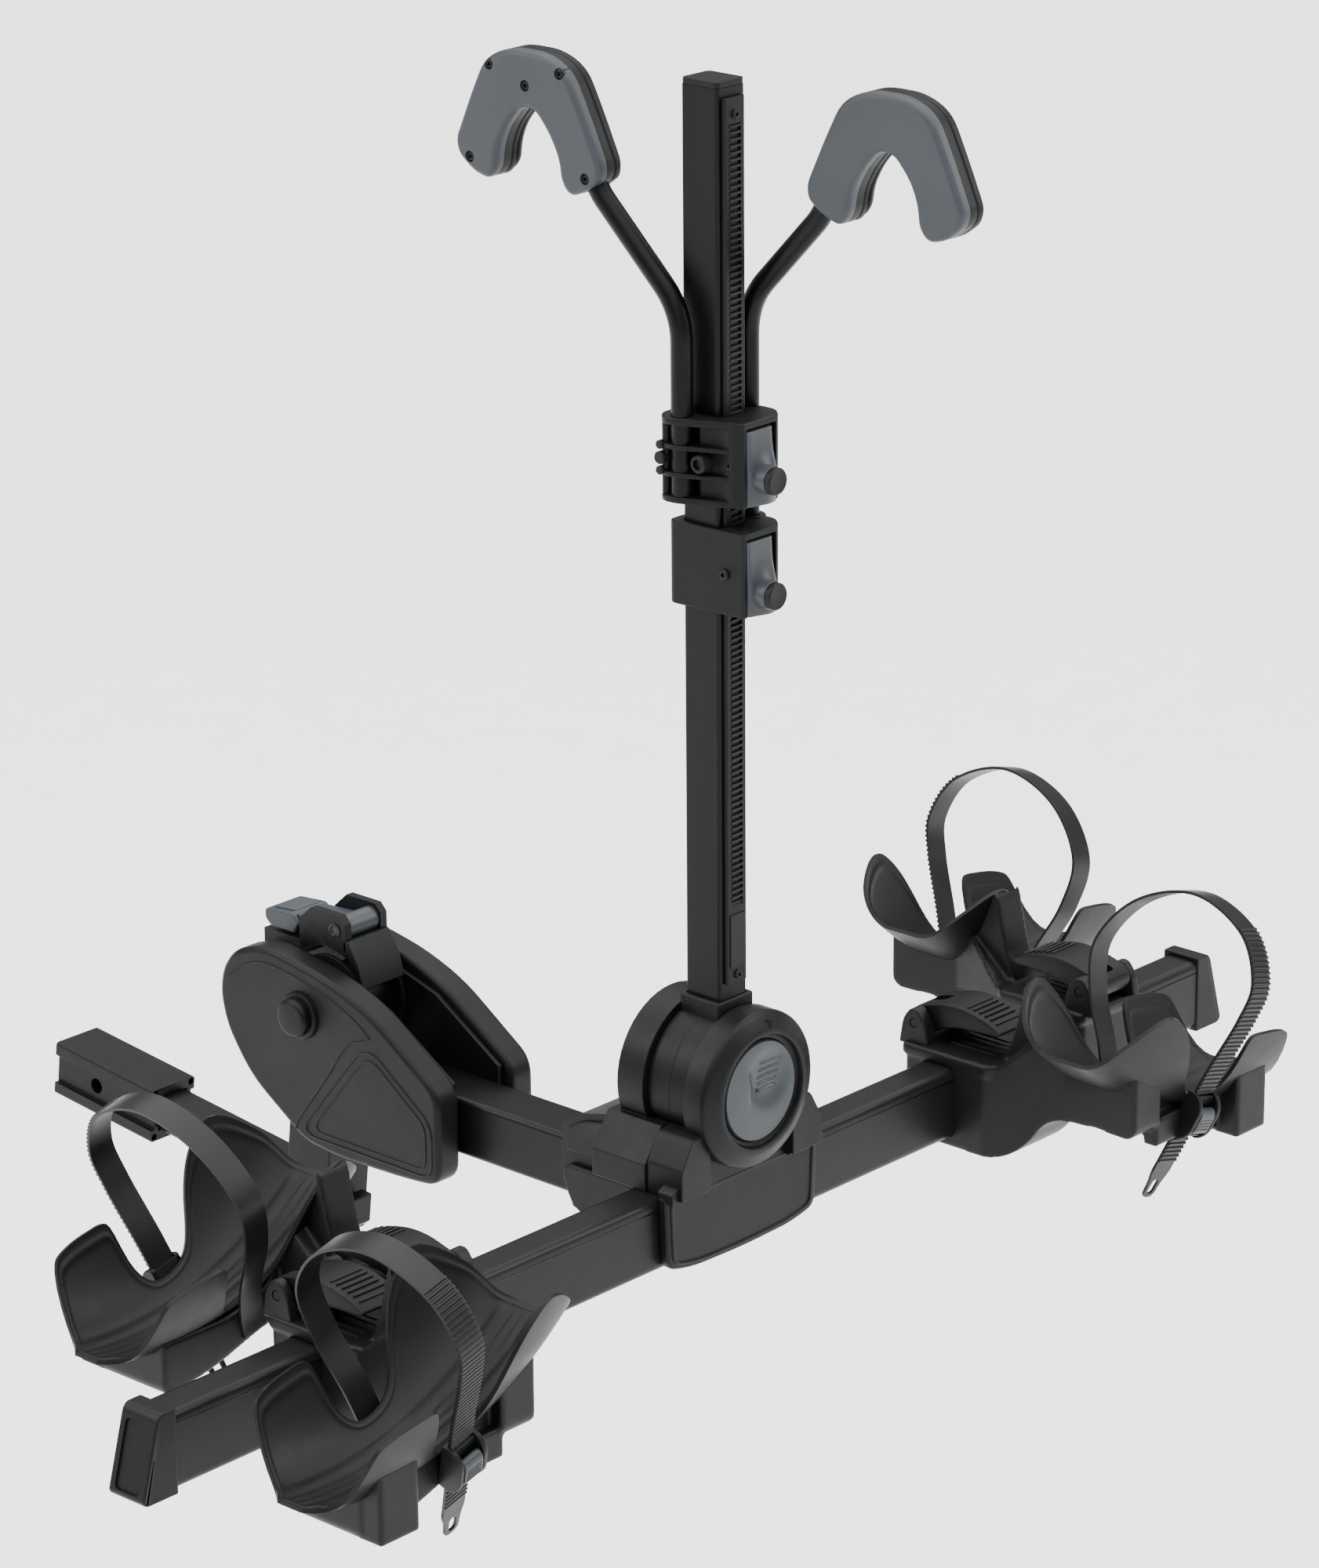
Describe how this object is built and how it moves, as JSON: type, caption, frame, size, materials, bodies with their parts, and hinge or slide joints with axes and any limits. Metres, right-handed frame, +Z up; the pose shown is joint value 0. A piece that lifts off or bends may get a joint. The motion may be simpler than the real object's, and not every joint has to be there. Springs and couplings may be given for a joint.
{
  "type": "hitch mounted bike rack",
  "caption": "Folding platform bicycle rack that slides into a vehicle hitch receiver, with strapped wheel trays and ratcheting frame hooks on a mast.",
  "frame": {"origin": "centre of the hitch pin hole, on the middle line of the hitch sleeve", "axes": "+Z up, +X along the crossbar, +Y toward the vehicle; the sleeve slopes 6.45 degrees up toward the vehicle"},
  "size_m": [1.3025, 1.0066, 1.0799],
  "materials": {
    "hitch_sleeve": "satin black powder coat over steel",
    "shank_bar": "satin black powder coat over steel",
    "pivot_post": "satin black powder coat over steel",
    "post_hook_plate": "satin black powder coat over steel",
    "locking_drum": "satin black powder coat over steel",
    "pivot_bolt": "satin black powder coat over steel",
    "pivot_nut": "zinc plated steel",
    "head_plate_left": "satin black powder coat over steel",
    "head_plate_right": "satin black powder coat over steel",
    "head_cover_left": "moulded black plastic with a fine grain",
    "head_cover_right": "moulded black plastic with a fine grain",
    "beam": "satin black powder coat over aluminium",
    "latch_housing": "moulded black plastic with a fine grain",
    "crossbar": "satin black powder coat over aluminium",
    "end_cap_left": "moulded black plastic with a fine grain",
    "end_cap_right": "moulded black plastic with a fine grain",
    "bracket_front": "moulded black plastic with a fine grain",
    "bracket_rear": "moulded black plastic with a fine grain",
    "release_lever": "moulded blue-grey soft-touch plastic",
    "lock_plunger": "zinc plated steel",
    "mast_hub": "moulded black plastic with a fine grain",
    "mast": "satin black powder coat over aluminium",
    "ratchet_strip": "moulded black plastic with a fine grain",
    "mast_cap": "moulded black plastic with a fine grain",
    "hub_button": "moulded blue-grey soft-touch plastic",
    "carriage_lower": "moulded black plastic with a fine grain",
    "hook_tube_right": "satin black powder coat over aluminium",
    "hook_head_right": "moulded blue-grey soft-touch plastic",
    "carriage_upper": "moulded black plastic with a fine grain",
    "hook_tube_left": "satin black powder coat over aluminium",
    "hook_head_left": "moulded blue-grey soft-touch plastic",
    "squeeze_paddle_lower": "moulded blue-grey soft-touch plastic",
    "squeeze_paddle_upper": "moulded blue-grey soft-touch plastic",
    "lock_core_lower": "zinc plated steel",
    "lock_core_upper": "zinc plated steel",
    "tray_arm_left_front": "moulded black plastic with a fine grain",
    "cradle_left_front": "moulded black plastic with a fine grain",
    "wheel_strap_left_front": "moulded black plastic with a fine grain",
    "strap_buckle_left_front": "moulded black plastic with a fine grain",
    "cam_lever_left_front": "moulded black plastic with a fine grain",
    "buckle_button_left_front": "moulded blue-grey soft-touch plastic",
    "tray_arm_right_front": "moulded black plastic with a fine grain",
    "cradle_right_front": "moulded black plastic with a fine grain",
    "wheel_strap_right_front": "moulded black plastic with a fine grain",
    "strap_buckle_right_front": "moulded black plastic with a fine grain",
    "cam_lever_right_front": "moulded black plastic with a fine grain",
    "buckle_button_right_front": "moulded blue-grey soft-touch plastic",
    "tray_arm_left_back": "moulded black plastic with a fine grain",
    "cradle_left_back": "moulded black plastic with a fine grain",
    "wheel_strap_left_back": "moulded black plastic with a fine grain",
    "strap_buckle_left_back": "moulded black plastic with a fine grain",
    "cam_lever_left_back": "moulded black plastic with a fine grain",
    "buckle_button_left_back": "moulded blue-grey soft-touch plastic",
    "tray_arm_right_back": "moulded black plastic with a fine grain",
    "cradle_right_back": "moulded black plastic with a fine grain",
    "wheel_strap_right_back": "moulded black plastic with a fine grain",
    "strap_buckle_right_back": "moulded black plastic with a fine grain",
    "cam_lever_right_back": "moulded black plastic with a fine grain",
    "buckle_button_right_back": "moulded blue-grey soft-touch plastic"
  },
  "bodies": {
    "shank": {"hitch_sleeve": "hitch_sleeve", "shank_bar": "shank_bar", "pivot_post": "pivot_post", "post_hook_plate": "post_hook_plate", "locking_drum": "locking_drum", "pivot_bolt": "pivot_bolt", "pivot_nut": "pivot_nut"},
    "platform": {"head_plate_left": "head_plate_left", "head_plate_right": "head_plate_right", "head_cover_left": "head_cover_left", "head_cover_right": "head_cover_right", "beam": "beam", "latch_housing": "latch_housing", "crossbar": "crossbar", "end_cap_left": "end_cap_left", "end_cap_right": "end_cap_right", "bracket_front": "bracket_front", "bracket_rear": "bracket_rear"},
    "release_lever": {"release_lever": "release_lever"},
    "lock_plunger": {"lock_plunger": "lock_plunger"},
    "mast": {"mast_hub": "mast_hub", "mast": "mast", "ratchet_strip": "ratchet_strip", "mast_cap": "mast_cap"},
    "hub_button": {"hub_button": "hub_button"},
    "lower_carriage": {"carriage_lower": "carriage_lower", "hook_tube_right": "hook_tube_right", "hook_head_right": "hook_head_right"},
    "upper_carriage": {"carriage_upper": "carriage_upper", "hook_tube_left": "hook_tube_left", "hook_head_left": "hook_head_left"},
    "lower_paddle": {"squeeze_paddle_lower": "squeeze_paddle_lower"},
    "upper_paddle": {"squeeze_paddle_upper": "squeeze_paddle_upper"},
    "lower_lock_core": {"lock_core_lower": "lock_core_lower"},
    "upper_lock_core": {"lock_core_upper": "lock_core_upper"},
    "tray_left_front": {"tray_arm_left_front": "tray_arm_left_front", "cradle_left_front": "cradle_left_front", "wheel_strap_left_front": "wheel_strap_left_front", "strap_buckle_left_front": "strap_buckle_left_front"},
    "cam_lever_left_front": {"cam_lever_left_front": "cam_lever_left_front"},
    "buckle_button_left_front": {"buckle_button_left_front": "buckle_button_left_front"},
    "tray_right_front": {"tray_arm_right_front": "tray_arm_right_front", "cradle_right_front": "cradle_right_front", "wheel_strap_right_front": "wheel_strap_right_front", "strap_buckle_right_front": "strap_buckle_right_front"},
    "cam_lever_right_front": {"cam_lever_right_front": "cam_lever_right_front"},
    "buckle_button_right_front": {"buckle_button_right_front": "buckle_button_right_front"},
    "tray_left_back": {"tray_arm_left_back": "tray_arm_left_back", "cradle_left_back": "cradle_left_back", "wheel_strap_left_back": "wheel_strap_left_back", "strap_buckle_left_back": "strap_buckle_left_back"},
    "cam_lever_left_back": {"cam_lever_left_back": "cam_lever_left_back"},
    "buckle_button_left_back": {"buckle_button_left_back": "buckle_button_left_back"},
    "tray_right_back": {"tray_arm_right_back": "tray_arm_right_back", "cradle_right_back": "cradle_right_back", "wheel_strap_right_back": "wheel_strap_right_back", "strap_buckle_right_back": "strap_buckle_right_back"},
    "cam_lever_right_back": {"cam_lever_right_back": "cam_lever_right_back"},
    "buckle_button_right_back": {"buckle_button_right_back": "buckle_button_right_back"}
  },
  "joints": [
    {"name": "platform_tilt", "type": "hinge", "parent": "shank", "child": "platform", "pos_m": [0, -0.3025, 0.156], "axis": [-1, 0, 0], "range_deg": [-30, 90]},
    {"name": "release_lever_lift", "type": "hinge", "parent": "platform", "child": "release_lever", "pos_m": [0, -0.3125, 0.225], "axis": [1, 0, 0], "range_deg": [0, 30], "stiffness_Nm_per_rad": 1},
    {"name": "plunger_lift", "type": "slide", "parent": "platform", "child": "lock_plunger", "axis": [0, 0, 1], "range_m": [0, 0.0125]},
    {"name": "mast_fold", "type": "hinge", "parent": "platform", "child": "mast", "pos_m": [0, -0.72, 0.1955], "axis": [0, -1, 0], "range_deg": [0, 85]},
    {"name": "hub_button_press", "type": "slide", "parent": "platform", "child": "hub_button", "axis": [0, 1, 0], "range_m": [0, 0.005], "stiffness_N_per_m": 800},
    {"name": "lower_carriage_slide", "type": "slide", "parent": "mast", "child": "lower_carriage", "axis": [0, 0, 1], "range_m": [-0.25, 0.15]},
    {"name": "upper_carriage_slide", "type": "slide", "parent": "lower_carriage", "child": "upper_carriage", "axis": [0, 0, 1], "range_m": [0, 0.05]},
    {"name": "lower_paddle_pull", "type": "hinge", "parent": "lower_carriage", "child": "lower_paddle", "pos_m": [0, -0.764, 0.649], "axis": [-1, 0, 0], "range_deg": [0, 20], "stiffness_Nm_per_rad": 0.6},
    {"name": "lower_lock_core_turn", "type": "hinge", "parent": "lower_paddle", "child": "lower_lock_core", "pos_m": [0, -0.774, 0.608], "axis": [0, -1, 0], "range_deg": [0, 90]},
    {"name": "upper_paddle_pull", "type": "hinge", "parent": "upper_carriage", "child": "upper_paddle", "pos_m": [0, -0.764, 0.737], "axis": [-1, 0, 0], "range_deg": [0, 20], "stiffness_Nm_per_rad": 0.6},
    {"name": "upper_lock_core_turn", "type": "hinge", "parent": "upper_paddle", "child": "upper_lock_core", "pos_m": [0, -0.774, 0.7], "axis": [0, -1, 0], "range_deg": [0, 90]},
    {"name": "tray_slide_left_front", "type": "slide", "parent": "platform", "child": "tray_left_front", "axis": [1, 0, 0], "range_m": [-0.1, 0]},
    {"name": "cam_lever_open_left_front", "type": "hinge", "parent": "tray_left_front", "child": "cam_lever_left_front", "pos_m": [-0.4326, -0.69, 0.1485], "axis": [1, 0, 0], "range_deg": [-85, 0]},
    {"name": "buckle_button_press_left_front", "type": "slide", "parent": "tray_left_front", "child": "buckle_button_left_front", "axis": [-0.0909, 0.9363, 0.3392], "range_m": [0, 0.0025], "stiffness_N_per_m": 500},
    {"name": "tray_slide_right_front", "type": "slide", "parent": "platform", "child": "tray_right_front", "axis": [1, 0, 0], "range_m": [-0.1, 0.03]},
    {"name": "cam_lever_open_right_front", "type": "hinge", "parent": "tray_right_front", "child": "cam_lever_right_front", "pos_m": [0.317, -0.69, 0.1485], "axis": [1, 0, 0], "range_deg": [-85, 0]},
    {"name": "buckle_button_press_right_front", "type": "slide", "parent": "tray_right_front", "child": "buckle_button_right_front", "axis": [0.0909, 0.9363, 0.3392], "range_m": [0, 0.0025], "stiffness_N_per_m": 500},
    {"name": "tray_slide_left_back", "type": "slide", "parent": "platform", "child": "tray_left_back", "axis": [1, 0, 0], "range_m": [0, 0.1]},
    {"name": "cam_lever_open_left_back", "type": "hinge", "parent": "tray_left_back", "child": "cam_lever_left_back", "pos_m": [-0.358, -0.75, 0.1485], "axis": [-1, 0, 0], "range_deg": [-85, 0]},
    {"name": "buckle_button_press_left_back", "type": "slide", "parent": "tray_left_back", "child": "buckle_button_left_back", "axis": [-0.0909, -0.9363, 0.3392], "range_m": [0, 0.0025], "stiffness_N_per_m": 500},
    {"name": "tray_slide_right_back", "type": "slide", "parent": "platform", "child": "tray_right_back", "axis": [1, 0, 0], "range_m": [-0.03, 0.1]},
    {"name": "cam_lever_open_right_back", "type": "hinge", "parent": "tray_right_back", "child": "cam_lever_right_back", "pos_m": [0.464, -0.75, 0.1485], "axis": [-1, 0, 0], "range_deg": [-85, 0]},
    {"name": "buckle_button_press_right_back", "type": "slide", "parent": "tray_right_back", "child": "buckle_button_right_back", "axis": [0.0909, -0.9363, 0.3392], "range_m": [0, 0.0025], "stiffness_N_per_m": 500}
  ],
  "couplings": [
    {"joint": "plunger_lift", "follows": "release_lever_lift", "m_per_rad": 0.0229}
  ]
}
